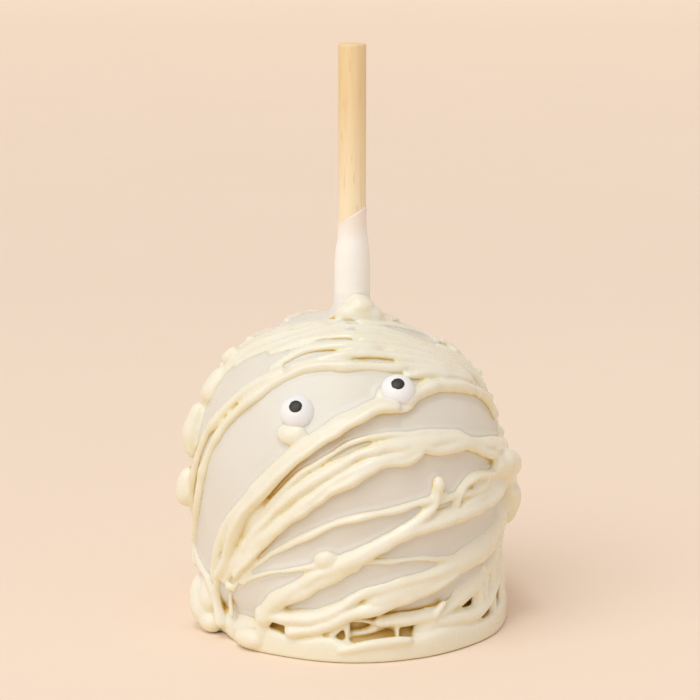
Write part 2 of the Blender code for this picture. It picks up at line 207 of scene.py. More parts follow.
    "drop_1": (1.3, 1.6, 0, ((-2, -29.5), (-1.4, -32.5), (-1.2, -36.5))),
    "drop_16": (2.2, 2.0, -0.2, ((-0.8, -30.3), (-4, -32.5), (-7.4, -34.6), (-11, -36))),
    "drop_2": (1.2, 1.8, 0, ((16.2, -30), (16.6, -33), (16.6, -37))),
    "drop_3": (6.0, 2.4, -0.3, ((34, -31), (30, -33), (27.5, -36), (27, -40))),
    "drop_4": (2.8, 2.6, -0.1, ((-35.5, -29), (-34.8, -32.5), (-34.4, -38))),
    "drop_5": (1.0, 1.2, 0.1, ((-49.8, -26), (-50.4, -30), (-49.6, -35))),
    "drop_15": (4.4, 2.6, -0.1, ((-22, -31), (-21, -33.5), (-20.5, -34.8))),
    "drop_14": (2.4, 2.6, 0, ((-52, -20), (-56.5, -23.5), (-59, -28), (-58.5, -33), (-56, -38))),
    "drop_10": (3.2, 2.4, 0, ((72, -10), (69, -18), (67, -26), (66.5, -33), (66, -38))),
    "drop_11": (4.6, 2.4, 0, ((82, -8), (80, -18), (79, -28), (78, -38))),
    "drop_13": (3.0, 2.2, 0, ((55, -24), (56, -28), (57, -31), (60, -34))),
    "drop_12": (2.0, 2.2, 0, ((57, -20), (60.5, -24), (60, -29), (63, -33))),
    # the thick runs on both outlines
    "left_fall": (4.4, 2.4, -0.3, ((-84, 57), (-88, 48), (-91, 38), (-93, 28), (-94, 20), (-94, 10))),
    "left_apron": (7.5, 2.2, -0.2, (
        (-60, 71), (-74, 62), (-82, 52), (-86, 42), (-88, 33), (-88, 24), (-89, 14))),
    "left_fall_low": (2.6, 2.0, -0.3, ((-93, 16), (-93, 0), (-93, -8), (-92, -15))),
}

# Bands round the back: width and height in millimetres, then the latitudes on the right, at the back and on
# the left.
BACK_BANDS = (
    (2.8, 2.4, 59, 64, 72),
    (3.2, 2.8, 53, 52, 60),
    (2.6, 2.4, 50, 43, 54),
    (3.6, 3.0, 44, 33, 46),
    (2.4, 2.3, 38, 27, 38),
    (3.4, 3.0, 32, 18, 31),
    (2.8, 2.6, 25, 10, 20),
    (3.8, 3.2, 20, 3, 9),
    (2.6, 2.4, 14, -3, 2),
    (3.4, 3.0, 9, -9, -7),
    (2.4, 2.4, 4, -15, -12),
    (4.0, 3.2, 0, -20, -19),
    (3.0, 2.8, -6, -26, -24),
    (3.6, 3.0, -12, -30, -29),
    (5.6, 3.0, -20, -34, -32),
)
BACK_START, BACK_END = 93, 268
BACK_WAVE = 4.5
# Strands that cross the back bands: width and height in millimetres, then places.
BACK_CROSSINGS = (
    (2.6, 2.4, ((104, 58), (112, 40), (126, 22), (138, 4), (146, -14), (150, -36))),
    (3.0, 2.8, ((150, 62), (158, 44), (160, 26), (170, 10), (176, -10), (178, -37))),
    (2.4, 2.4, ((196, 46), (190, 28), (196, 12), (206, -6), (208, -24), (206, -37))),
    (2.8, 2.6, ((236, 50), (230, 30), (234, 10), (228, -12), (232, -37))),
    (3.4, 2.4, ((120, 50), (140, 47), (165, 30), (190, 22), (215, 4), (240, -6), (262, -22))),
    (2.8, 2.6, ((104, -6), (130, 2), (152, 18), (180, 40), (200, 56), (214, 68))),
    (3.6, 2.6, ((110, -30), (140, -18), (170, -4), (205, 14), (240, 26), (266, 30))),
    (2.2, 2.2, ((98, 24), (110, 12), (120, -10), (116, -30), (118, -37))),
)

# The roll of chocolate that pooled at the foot: longitude in degrees, then outer radius and height in
# millimetres.
FOOT_ROLL = (
    (-180, 36.4, 8.0), (-150, 36.0, 7.6), (-120, 36.4, 7.2), (-100, 36.6, 5.6), (-84, 36.4, 4.2),
    (-76, 36.0, 3.6), (-70, 34.6, 3.4), (-65, 33.2, 3.6), (-62, 33.2, 4.4), (-56, 33.9, 4.4),
    (-52, 34.3, 4.2), (-48, 35.2, 4.2), (-45, 36.2, 4.2), (-40, 36.5, 4.6), (-33, 36.4, 6.2),
    (-27, 36.5, 6.0), (-22, 36.6, 4.5), (-18.6, 36.8, 4.8), (-11, 37.4, 6.0), (-5, 37.7, 5.4),
    (-1, 37.8, 4.4), (9.5, 37.9, 4.4), (20, 37.6, 4.8), (26, 37.5, 5.2), (32, 37.3, 6.0), (39, 37.0, 6.0),
    (47.5, 36.7, 5.2), (54, 36.7, 4.9), (61, 36.7, 5.2), (67.5, 36.6, 5.6), (74, 36.4, 6.4), (83, 36.3, 6.8),
    (91, 36.4, 6.8), (120, 36.2, 7.6), (150, 36.2, 8.2), (180, 36.4, 8.0),
)
# Soft lumps: the place, then half the width, half the length and half the thickness, and how far the middle
# is raised over the coat, in millimetres.
LUMPS = {
    "under_left_eye": (-22.3, 31.2, 3.6, 2.7, 1.7, 0.1),
    "right_eye_pad": (21.5, 43.6, 5.0, 4.6, 1.1, 0.0),
    "band_knob": (-8.2, -12.4, 3.0, 2.4, 1.9, 0.1),
    "foot_front_left": (-40, -38, 4.4, 2.4, 2.2, 0.4),
    "thread_end": (-49.5, -25.6, 1.1, 1.2, 1.2, 0.7),
    "fork_top": (33.8, 12.6, 1.5, 2.1, 1.6, 0.7),
}

# Round runs that stand off the coat, on its two sides, at the foot and beside the collar. Each is a row of
# middles with the radius there, all in millimetres.
BEADS = {
    "left_run_1": ((-26.5, -3, 64.8, 0.9), (-28.5, -3, 62.6, 1.4), (-29.5, -3, 61.0, 1.0)),
    "left_run_2": (
        (-28.8, -3, 60, 1.6), (-30.6, -3, 57.3, 2.4), (-32.0, -3, 54, 3.1), (-32.4, -3, 51.4, 2.8)),
    "left_run_3": (
        (-34.6, -2, 51.5, 1.8), (-36.0, -2, 47.8, 2.3), (-36.7, -2, 44.5, 2.8), (-36.7, -2, 41.8, 2.5),
        (-36.4, -2, 38.4, 2.0)),
    "left_run_4": (
        (-37.2, -1, 36.0, 1.8), (-38.2, -1, 32.5, 2.6), (-38.4, -1, 29.4, 2.9), (-38.2, -1, 26.8, 2.4)),
    "left_foot_1": (
        (-33.6, -7, 12.5, 2.2), (-34.4, -8.5, 9, 3.2), (-34.2, -10, 6.4, 3.6), (-33.4, -11.8, 4.6, 3.6),
        (-32.2, -14, 3.8, 3.4)),
    "left_foot_2": ((-33.8, -11, 4.0, 2.6), (-32.6, -13.6, 2.6, 2.6), (-30.4, -16, 3.0, 2.4)),
    "foot_ridge": (
        (-3.5, -37.2, 2.6, 0.8), (0, -37.3, 3.4, 1.1), (4.3, -37.0, 4.2, 1.2), (10, -35.9, 4.7, 1.1),
        (13.5, -34.8, 4.6, 0.8)),
    "left_foot_4": (
        (-31.2, -8.5, 14.4, 2.4), (-31.4, -10.8, 10.6, 3.6), (-31.4, -12.6, 7.2, 4.0),
        (-31.0, -14, 4.4, 3.6)),
    "left_foot_3": ((-30.0, -15.6, 3.2, 1.6), (-27.4, -18.0, 2.6, 2.1), (-25.6, -21.6, 2.4, 2.2)),
    "right_run_1": (
        (33.8, -12, 40.0, 2.6), (35.8, -7, 38.8, 3.1), (36.4, -2, 36.4, 3.0), (36.2, -2, 34.0, 2.5)),
    "right_run_2": ((35.8, -6, 33, 2.2), (36.6, -3, 30, 2.8), (36.2, -2, 26.6, 2.6), (35.2, -2, 22.8, 1.7)),
    "right_run_3": ((33.0, -2, 12.0, 1.4), (33.3, -2, 8.0, 1.9), (33.0, -2, 4.6, 1.9)),
    "right_fold": (
        (31, -14, 40, 3.0), (33.6, -9, 38, 3.5), (34.6, -4, 34, 3.6), (34.2, -3, 29, 3.6),
        (33.4, -4, 24, 2.8)),
    "collar_front": (
        (0.5, -2.8, 77.0, 1.8), (1.0, -3.8, 75.6, 3.1), (1.7, -4.4, 73.6, 3.9), (2.0, -5.4, 71.4, 3.9)),
    "collar_flare": (
        (-3.8, -4.2, 72.4, 2.0), (0.4, -5.0, 73.0, 3.0), (4.4, -4.2, 72.4, 2.6), (6.8, -3.4, 71.2, 2.0)),
}


# Arithmetic on arrays of points


def as_mm(value):
    return value * MM


def unit(vectors):
    return vectors / np.linalg.norm(vectors, axis=-1, keepdims=True)


def facing(longitude, latitude):
    turn, rise = np.radians(longitude), np.radians(latitude)
    return np.stack([np.sin(turn) * np.cos(rise), -np.cos(turn) * np.cos(rise), np.sin(rise)], axis=-1)


def to_places(directions):
    directions = unit(directions)
    longitude = np.degrees(np.arctan2(directions[:, 0], -directions[:, 1]))
    return longitude, np.degrees(np.arcsin(np.clip(directions[:, 2], -1, 1)))


def uneven(points, size, seed):
    """Smooth noise from about -1 to 1 at each point, with swells of about this size."""
    offset = Vector((seed * 3.71, seed * 1.93, seed * 5.57))
    return np.array([noise.noise(Vector(point) / size + offset) for point in points.tolist()])


def smooth_path(points, step):
    """Points at an even spacing on a smooth curve through the given ones (Catmull-Rom)."""
    points = np.asarray(points, float)
    ends = np.concatenate([[2 * points[0] - points[1]], points, [2 * points[-1] - points[-2]]])
    found = []
    for a, b, c, d in zip(ends, ends[1:], ends[2:], ends[3:]):
        t = np.linspace(0, 1, 24, endpoint=False)[:, None]
        bend = (2 * a - 5 * b + 4 * c - d) * t**2 + (3 * b - a - 3 * c + d) * t**3
        found.append(0.5 * (2 * b + (c - a) * t + bend))
    found = np.concatenate([*found, points[-1:]])
    run = np.concatenate([[0], np.cumsum(np.linalg.norm(np.diff(found[:, :3], axis=0), axis=1))])
    even = np.linspace(0, run[-1], max(4, int(run[-1] / step)))
    return np.stack([np.interp(even, run, column) for column in found.T], axis=1)


# Places on the apple


def apple_profile(longitude, latitude):
    """Distance from the axis and height above the centre, on a squarish oval with sloping shoulders."""
    angle = np.radians(latitude)
    upper = np.asarray(latitude) >= 0
    height = np.where(upper, SHOULDER_HEIGHT, BELLY_DEPTH)
    power = np.where(upper, SHOULDER_SQUARENESS, BELLY_SQUARENESS)
    across = np.abs(np.cos(angle) / APPLE_RADIUS) ** power
    upright = np.abs(np.sin(angle) / height) ** power
    sideways = np.sin(np.radians(longitude))
    slope = (SHOULDER_SLOPE * np.abs(sideways) + SHOULDER_LEAN * sideways) * (np.asarray(latitude) > 0)
    slope = slope * np.exp(-(((latitude - SLOPE_MIDDLE) / SLOPE_SPREAD) ** 2))
    reach = (across + upright) ** (-1 / power) * (1 - slope)
    return reach * np.cos(angle), reach * np.sin(angle)


def on_coat(longitude, latitude, lift=0.0):
    """Points on the coat, or lifted off it. Below the middle they hang straight down, as the drizzle does."""
    turn = np.radians(longitude)
    latitude = np.asarray(latitude, float)
    out, up = apple_profile(longitude, latitude)
    fall = np.clip(-latitude / CURTAIN_END, 0, 1)
    hanging = latitude < 0
    spread = APPLE_RADIUS + CURTAIN_SPREAD * fall
    tuck = (CURTAIN_TUCK + CURTAIN_TUCK_RIGHT * np.sin(turn)) * np.minimum(1, fall * 2)
    out = np.where(hanging, spread - tuck, out)
    up = np.where(hanging, spread * np.tan(np.radians(latitude)), up)
    centre_x = CENTRE.x * (1 - fall)
    base = np.stack([centre_x + out * np.sin(turn), -out * np.cos(turn), CENTRE.z + up], axis=-1)
    lift = np.broadcast_to(lift, latitude.shape)
    return base + lift[..., None] * outward_at(longitude, latitude)


def outward_at(longitude, latitude):
    """The way out of the coat: level below the middle, and tilting up above it."""
    return facing(longitude, np.clip(np.asarray(latitude, float) * OUTWARD_TILT, 0, 90))


# Meshes


def new_piece(name, vertices, faces):
    mesh = bpy.data.meshes.new(name)
    mesh.from_pydata([tuple(v) for v in vertices], [], [tuple(f) for f in faces])
    mesh.update()
    mesh.shade_smooth()
    piece = bpy.data.objects.new(name, mesh)
    bpy.context.scene.collection.objects.link(piece)
    return piece


def ring_faces(rings, sides):
    """Quads between rings of points that are numbered one after another, and a face over each end."""
    ring, side = np.meshgrid(np.arange(rings - 1), np.arange(sides), indexing="ij")
    after = (side + 1) % sides
    near, far = ring * sides, (ring + 1) * sides
    faces = np.stack([near + side, near + after, far + after, far + side], axis=-1).reshape(-1, 4).tolist()
    faces.append(list(range(sides))[::-1])
    faces.append([(rings - 1) * sides + i for i in range(sides)])
    return faces


def joined(shells):
    """One list of vertices and one of faces from many."""
    vertices, faces, count = [], [], 0
    for points, polygons in shells:
        vertices.append(np.asarray(points, float))
        faces += [[i + count for i in polygon] for polygon in polygons]
        count += len(points)
    return np.concatenate(vertices), faces


def bake_modifiers(piece):
    """Replaces the piece's mesh with the mesh that its modifiers make."""
    graph = bpy.context.evaluated_depsgraph_get()
    mesh = bpy.data.meshes.new_from_object(piece.evaluated_get(graph))
    piece.modifiers.clear()
    old = piece.data
    piece.data = mesh
    bpy.data.meshes.remove(old)
    mesh.name = piece.name


def read_vertices(mesh):
    flat = np.empty(len(mesh.vertices) * 3, np.float32)
    mesh.vertices.foreach_get("co", flat)
    return flat.reshape(-1, 3).astype(float)


def write_vertices(mesh, points):
    mesh.vertices.foreach_set("co", np.asarray(points, np.float32).ravel())
    mesh.update()


def read_normals(mesh):
    flat = np.empty(len(mesh.vertices) * 3, np.float32)
    mesh.vertex_normals.foreach_get("vector", flat)
    return flat.reshape(-1, 3).astype(float)


def read_faces(mesh):
    return [list(polygon.vertices) for polygon in mesh.polygons]


def write_attribute(mesh, name, values):
    attribute = mesh.attributes.new(name, "FLOAT", "POINT")
    attribute.data.foreach_set("value", np.asarray(values, np.float32))


GOLDEN_ANGLE = 2.39996323


def cosine_directions(count):
    """Directions spread evenly over a hemisphere, denser near its pole."""
    i = np.arange(count) + 0.5
    radius = np.sqrt(i / count)
    turn = i * GOLDEN_ANGLE
    return np.stack([radius * np.cos(turn), radius * np.sin(turn), np.sqrt(1 - radius**2)], axis=1)


# How shelter is measured: rays from each point, how far off the surface they start, and how far they look
SHELTER_RAYS = 16
SHELTER_START = 0.00005
CREASE_REACH = 0.0016
HOLLOW_REACH = 0.009
BURIED_SHARE = 0.15
SHELTER_PASSES = 2


def spread_over(mesh, values, known, passes):
    """Evens the values out over neighbouring points, taking them only from points where they are known."""
    edges = np.empty(len(mesh.edges) * 2, np.int32)
    mesh.edges.foreach_get("vertices", edges)
    first, second = edges.reshape(-1, 2).T
    count = len(values)
    for _ in range(passes):
        weight = known.astype(float)
        total = values * weight
        sources = weight.copy()
        for near, far in ((first, second), (second, first)):
            total += np.bincount(near, (weight * values)[far], count)
            sources += np.bincount(near, weight[far], count)
        values = np.where(sources > 0, total / np.maximum(sources, 1), values)
        known = sources > 0
    return values


def mark_shelter(mesh, shells):
    """Writes how much of each point's sky the chocolate hides, from close by and from further off, to paint
    shade by.
    """
    points, normals = read_vertices(mesh), read_normals(mesh)
    tree = BVHTree.FromPolygons(*[part if i else part.tolist() for i, part in enumerate(joined(shells))])
    helper = np.where(np.abs(normals[:, 2:3]) < 0.9, [[0.0, 0.0, 1.0]], [[1.0, 0.0, 0.0]])
    side = unit(np.cross(normals, helper))
    other = np.cross(normals, side)
    close = np.zeros(len(points))
    wide = np.zeros(len(points))
    buried = np.zeros(len(points))
    starts = [Vector(p) for p in points + normals * SHELTER_START]
    for x, y, z in cosine_directions(SHELTER_RAYS):
        ways = (side * x + other * y + normals * z).tolist()
        hits = [tree.ray_cast(start, way, HOLLOW_REACH) for start, way in zip(starts, ways)]
        distance = np.array([HOLLOW_REACH if hit[3] is None else hit[3] for hit in hits])
        buried += [hit[3] is not None and hit[1].dot(way) > 0 for hit, way in zip(hits, ways)]
        close += np.clip(1 - distance / CREASE_REACH, 0, 1)
        wide += np.clip(1 - distance / HOLLOW_REACH, 0, 1)
    in_the_open = buried < SHELTER_RAYS * BURIED_SHARE
    # the materials paint shade from these: golden in creases, dark golden brown in deep gaps
    write_attribute(mesh, "crease_shade", spread_over(mesh, close / SHELTER_RAYS, in_the_open, SHELTER_PASSES))
    write_attribute(mesh, "hollow_shade", spread_over(mesh, wide / SHELTER_RAYS, in_the_open, SHELTER_PASSES))


# The drizzle's shape

STRAND_STEP = 0.0006
STRAND_SIDES = 20
SUNK = 0.08
LONG_SWELL, SHORT_SWELL, STRAY_LENGTH, COMB_TWIST = 0.007, 0.003, 0.0048, 0.02
WIDTH_SWELL, HEIGHT_SWELL = 0.27, 0.18
SAG, OVERHANG = 0.30, 0.34
COMBING = 0.06
WEB_TRIANGLES = 195000
ROLL_DEPTH = 0.0036
ROLL_TOP, ROLL_BASE = 0.7, 0.3
ROLL_SIDES = 20
LUMP_RINGS, LUMP_SIDES = 13, 20
FOOT_CURTAIN = (5.2, 2.4, -2.1, [(longitude, -36) for longitude in range(-180, 200, 20)])


def strand(centres, outward, width, height, seed, wander):
    """A flattened tube of uneven width with rounded ends, that sags over its lower edge."""
    along = unit(np.gradient(centres, axis=0))
    across = unit(np.cross(along, outward))
    outward = np.cross(across, along)
    run = np.concatenate([[0], np.cumsum(np.linalg.norm(np.diff(centres, axis=0), axis=1))])
    swell = along_strand(run, LONG_SWELL, seed) + 0.6 * along_strand(run, SHORT_SWELL, seed + 0.5)
    stray = along_strand(run, STRAY_LENGTH, seed + 0.25)
    centres = centres + across * (stray * wander)[:, None]
    from_end = np.clip(np.minimum(run, run[-1] - run) / (width * 0.5), 0, 1)
    ends = np.sqrt(np.clip(1 - (1 - from_end) ** 2, 0.02, 1))
    half_width = (width / 2 * (1 + WIDTH_SWELL * swell) * ends)[:, None]
    half_height = (height / 2 * (1 + HEIGHT_SWELL * swell) * ends)[:, None]
    turns = np.linspace(0, 2 * pi, STRAND_SIDES, endpoint=False)
    aside, rise = np.cos(turns)[None], np.sin(turns)[None]
    downhill = np.clip(-1.4 * across[:, 2:3], -1, 1) * aside
    combed = 1 + COMBING * np.cos(4 * turns[None] + 3 * along_strand(run, COMB_TWIST, seed)[:, None])
    standing = rise * combed * (1 + SAG * downhill) + OVERHANG * downhill
    rings = (
        centres[:, None]
        + across[:, None] * (half_width * aside * combed)[..., None]
        + outward[:, None] * (half_height * standing)[..., None]
    )
    return rings.reshape(-1, 3), ring_faces(len(rings), STRAND_SIDES)


def along_strand(run, size, seed):
    return np.array([noise.noise(Vector((s / size, seed * 7.3, 0.5))) for s in run])


def strand_through(width, height, raised, places, seed, wander):
    places = np.array(places, float)
    directions = smooth_path(facing(places[:, 0], places[:, 1]), STRAND_STEP / APPLE_RADIUS)
    longitude, latitude = to_places(directions)
    centres = on_coat(longitude, latitude, as_mm(height * SUNK + raised))
    return strand(centres, outward_at(longitude, latitude), as_mm(width), as_mm(height), seed, wander)


def back_band_places(right, back, left, seed):
    """A wavy band that falls from its two ends to the back."""
    places = []
    for longitude in np.linspace(BACK_START, BACK_END, 14):
        share = (longitude - BACK_START) / (BACK_END - BACK_START)
        level = right * (1 - share) ** 2 + back * 2 * share * (1 - share) + left * share**2
        level += BACK_WAVE * noise.noise(Vector((share * 5, seed * 2.7, 1.5)))
        places.append((longitude, level))
    return places


def foot_roll():
    """A round of chocolate with an upright outer face, of uneven reach and height."""
    longitude = np.arange(-180, 180, 1.5)
    at, reach, height = np.array(FOOT_ROLL, float).T
    reach = as_mm(np.interp(longitude, at, reach))
    height = as_mm(np.interp(longitude, at, height))
    reach, height = (soften(values, 3) for values in (reach, height))
    out = facing(longitude, 0 * longitude)
    turns = np.linspace(0, 2 * pi, ROLL_SIDES, endpoint=False)
    corner = np.where(np.sin(turns) < 0, ROLL_BASE, ROLL_TOP)
    bulge = np.sign(np.cos(turns)) * np.abs(np.cos(turns)) ** corner
    rise = np.sign(np.sin(turns)) * np.abs(np.sin(turns)) ** corner
    rings = (
        out[:, None] * (reach - ROLL_DEPTH / 2)[:, None, None]
        + out[:, None] * (bulge * ROLL_DEPTH / 2)[None, :, None]
        + np.array([0, 0, 0.5]) * height[:, None, None] * (1 + rise)[None, :, None]
    )
    faces = ring_faces(len(rings) + 1, ROLL_SIDES)[:-2]
    faces = [[i % (len(rings) * ROLL_SIDES) for i in face] for face in faces]
    return rings.reshape(-1, 3), faces


def soften(values, passes):
    """Evens out a closed run of numbers."""
    for _ in range(passes):
        values = (np.roll(values, 1) + 2 * values + np.roll(values, -1)) / 4
    return values


def lump(longitude, latitude, half_width, half_length, half_thickness, raised):
    """A flattened ball on the coat."""
    tilts = np.radians(np.linspace(-84, 84, LUMP_RINGS))[:, None]
    turns = np.linspace(0, 2 * pi, LUMP_SIDES, endpoint=False)[None]
    out = outward_at(longitude, latitude)
    east = facing(longitude + 90, 0.0)
    north = np.cross(out, east)
    spread = np.cos(tilts)[..., None] * (
        as_mm(half_width) * np.cos(turns)[..., None] * east
        + as_mm(half_length) * np.sin(turns)[..., None] * north
    )
    bulge = np.sin(tilts)[..., None] * as_mm(half_thickness) * out
    rings = on_coat(longitude, latitude, as_mm(raised)) + spread + bulge
    return rings.reshape(-1, 3), ring_faces(LUMP_RINGS, LUMP_SIDES)


def bead_run(stations):
    """A round tube of changing radius with rounded ends."""
    centres, radius = np.split(smooth_path(as_mm(np.array(stations, float)), STRAND_STEP), [3], axis=1)
    run = np.linspace(0, 1, len(centres))[:, None] * STRAND_STEP * len(centres)
    from_end = np.clip((np.minimum(run, run[-1] - run) + radius * 0.1) / radius, 0, 1)
    radius = radius * np.sqrt(1 - (1 - from_end) ** 2)
    along = unit(np.gradient(centres, axis=0))
    across = unit(np.cross(along, centres * (1, 1, 0)))
    outward = np.cross(across, along)
    turns = np.linspace(0, 2 * pi, STRAND_SIDES, endpoint=False)[None, :, None]
    around = across[:, None] * np.cos(turns) + outward[:, None] * np.sin(turns)
    rings = centres[:, None] + radius[:, None] * around
    return rings.reshape(-1, 3), ring_faces(len(rings), STRAND_SIDES)


def drizzle_shell(size):
    wander = size.drizzle_wander
    strands = list(STRANDS.values())
    strands += [
        (width, height, -0.4, back_band_places(right, back, left, seed))
        for seed, (width, height, right, back, left) in enumerate(BACK_BANDS)
    ]
    strands += [(width, height, 0.1, places) for width, height, places in BACK_CROSSINGS]
    strands.append(FOOT_CURTAIN)
    shells = [strand_through(*values, seed, wander) for seed, values in enumerate(strands)]
    shells.append(foot_roll())
    shells += [lump(*values) for values in LUMPS.values()]
    shells += [bead_run(stations) for stations in BEADS.values()]
    return joined(shells)


def melt(piece, melt_size):
    """Runs the strands together where they touch, and rounds what is left."""
    fuse = piece.modifiers.new("fuse", "REMESH")
    fuse.mode = "VOXEL"
    fuse.voxel_size = melt_size
    soften = piece.modifiers.new("soften", "SMOOTH")
    soften.factor = 0.5
    soften.iterations = 4
    bake_modifiers(piece)
    triangles = 2 * len(piece.data.polygons)
    thin_out = piece.modifiers.new("thin_out", "DECIMATE")
    thin_out.ratio = min(1.0, WEB_TRIANGLES / triangles)
    bake_modifiers(piece)
    points = read_vertices(piece.data)
    points[:, 2] = np.maximum(points[:, 2], 0.0)
    write_vertices(piece.data, points)
    piece.data.shade_smooth()


# The coat's shape

FINE_COAT = (380, 190, 50)
COARSE_COAT = (120, 70, 16)
COAT_FOOT_RADIUS, COAT_FOOT_HEIGHT = 0.0325, 0.0026
# The collar: height over its start, and the radius there, in millimetres
COLLAR_PROFILE = (
    (0.0, 5.7), (0.8, 5.0), (1.7, 4.6), (3.6, 4.25), (6, 4.18), (11.5, 4.15), (14.6, 3.95), (16.6, 3.65),
    (18.1, 3.42), (20.5, 3.36), (22.9, 3.34),
)
MENISCUS_REACH = 0.0012
MENISCUS_HEIGHT = 0.00045
COLLAR_START = 0.0724
COLLAR_SLANT = 0.0021
COLLAR_MIDDLE_RADIUS = 4.15


def coat_shell(size, detail):
    """The foot, the belly, the shoulders and the collar as rings of points, bottom first."""
    sides, apple_rings, collar_rings = detail
    turn = np.linspace(0, 2 * pi, sides, endpoint=False)
    rings = []

    def ring(radius, level, centre_x=0.0):
        level = np.broadcast_to(level, turn.shape)
        radius = np.broadcast_to(radius, turn.shape)
        rings.append(np.stack([centre_x + radius * np.sin(turn), -radius * np.cos(turn), level], axis=1))

    for share in (0.4, 0.75, 0.97, 1.0):
        ring(COAT_FOOT_RADIUS * share, 0.0)
    for share in (1.0, 0.97, 0.9):
        ring(COAT_FOOT_RADIUS * share, COAT_FOOT_HEIGHT)
    for latitude in np.linspace(BELLY_END, SHOULDER_END, apple_rings):
        out, up = apple_profile(np.degrees(turn), latitude)
        ring(out, CENTRE.z + up, CENTRE.x)
    heights, radii = np.array(COLLAR_PROFILE).T
    top = size.collar_top + COLLAR_SLANT * np.sin(turn)
    for share in np.linspace(0, 1, collar_rings):
        rise = share * heights[-1]
        radius = as_mm(np.interp(rise, heights, radii))
        radius = radius * size.collar_radius / as_mm(COLLAR_MIDDLE_RADIUS)
        reach = (top - COLLAR_START) / as_mm(heights[-1])
        ring(radius, COLLAR_START + as_mm(rise) * (1 + (reach - 1) * share**3))
    ring(0.00325, top)
    ring(0.002, top)
    vertices = np.concatenate(rings)
    away = unit(vertices - np.array(CENTRE))
    swell = uneven(vertices, 0.012, 1) + 0.4 * uneven(vertices, 0.005, 2)
    vertices += away * (size.coat_waviness * swell * (vertices[:, 2] > 0.006))[:, None]
    return vertices, ring_faces(len(rings), sides)


def with_meniscus(vertices, web):
    """Draws the coat up a little where it meets the drizzle."""
    tree = BVHTree.FromPolygons(read_vertices(web).tolist(), read_faces(web))
    away = unit((vertices - np.array(CENTRE)) * (1, 1, 0.8))
    found = [tree.find_nearest(Vector(point), MENISCUS_REACH)[3] for point in vertices.tolist()]
    distance = np.array([way or MENISCUS_REACH for way in found])
    vertices = vertices + away * (MENISCUS_HEIGHT * (1 - distance / MENISCUS_REACH) ** 2)[:, None]
    vertices[:, 2] = np.maximum(vertices[:, 2], 0.0)
    return vertices


# The stick's and the eyes' shape

STICK_SIDES = 48
STICK_EDGE = 0.0004
STICK_RINGS = 60


def stick_shell():
    """A slim dowel with softened edges that isn't quite straight or round."""
    radius = (STICK_HIGH.x - STICK_LOW.x) / 2
    turn = np.linspace(0, 2 * pi, STICK_SIDES, endpoint=False)
    rings = [(0.3 * radius, STICK_LOW.z), (0.8 * radius, STICK_LOW.z)]
    for tilt in np.radians((0, 30, 60, 90)):
        inset = STICK_EDGE * (1 - sin(tilt))
        rings.append((radius - inset, STICK_LOW.z + STICK_EDGE * (1 - cos(tilt))))
    for level in np.linspace(STICK_LOW.z + 0.001, STICK_HIGH.z - 0.001, STICK_RINGS):
        rings.append((radius, level))
    for tilt in np.radians((90, 60, 30, 0)):
        inset = STICK_EDGE * (1 - sin(tilt))
        rings.append((radius - inset, STICK_HIGH.z - STICK_EDGE * (1 - cos(tilt))))
    rings += [(0.8 * radius, STICK_HIGH.z), (0.3 * radius, STICK_HIGH.z)]
    points = np.concatenate([
        np.stack([r * np.cos(turn), r * np.sin(turn), np.full_like(turn, z)], axis=1) for r, z in rings
    ])
    out = points * (1, 1, 0)
    points += out * (0.012 * uneven(points * (1, 1, 0.12), 0.003, 3))[:, None]
    return points, ring_faces(len(rings), STICK_SIDES)


EYE_SIDES = 64
EYE_RIM = 0.0004
EYE_SINK = 0.0008
PUPIL_RISE = 0.00012
PUPIL_ROUGHNESS = 0.05


def eye_profile(size):
    """Radius and height from the button's foot to the middle of its dome."""
    dome = size.eye_height - EYE_RIM
    points = [
        (size.eye_radius * 0.5, -EYE_SINK),
        (size.eye_radius * 0.9, -EYE_SINK),
        (size.eye_radius * 0.97, -EYE_SINK / 2),
    ]
    for rise in np.radians(np.linspace(0, 88, 24)):
        points.append((size.eye_radius * cos(rise), EYE_RIM + dome * sin(rise)))
    return points


def pupil_profile(size):
    """A thin disc that follows the dome."""
    dome = size.eye_height - EYE_RIM
    points = []
    for share in (0.5, 0.9, 1.0):
        radius = size.pupil_radius * share
        points.append((radius, EYE_RIM + dome * (1 - (radius / size.eye_radius) ** 2) ** 0.5 - 0.0002))
    for share in (1.0, 0.96, 0.85, 0.6, 0.3, 0.05):
        radius = size.pupil_radius * share
        rise = PUPIL_RISE * (1 - share**8)
        points.append((radius, EYE_RIM + dome * (1 - (radius / size.eye_radius) ** 2) ** 0.5 + rise))
    return points


def turned_piece(name, profile, sides, roughen=0.0):
    turn = np.linspace(0, 2 * pi, sides, endpoint=False)
    points = np.concatenate([
        np.stack([r * np.cos(turn), r * np.sin(turn), np.full_like(turn, z)], axis=1) for r, z in profile
    ])
    if roughen:
        points += points * (1, 1, 0) * (roughen * uneven(points, 0.0006, len(name)))[:, None]
    return new_piece(name, points, ring_faces(len(profile), sides))


def eye_stand(place, look, pressed):
    """Stands a turned piece on the coat at a place, facing a direction and pressed in a little."""
    normal = Vector(facing(*look))
    seat = Vector(on_coat(*place)) - normal * as_mm(pressed)
    return Matrix.Translation(seat) @ normal.to_track_quat("Z", "Y").to_matrix().to_4x4()


# Materials


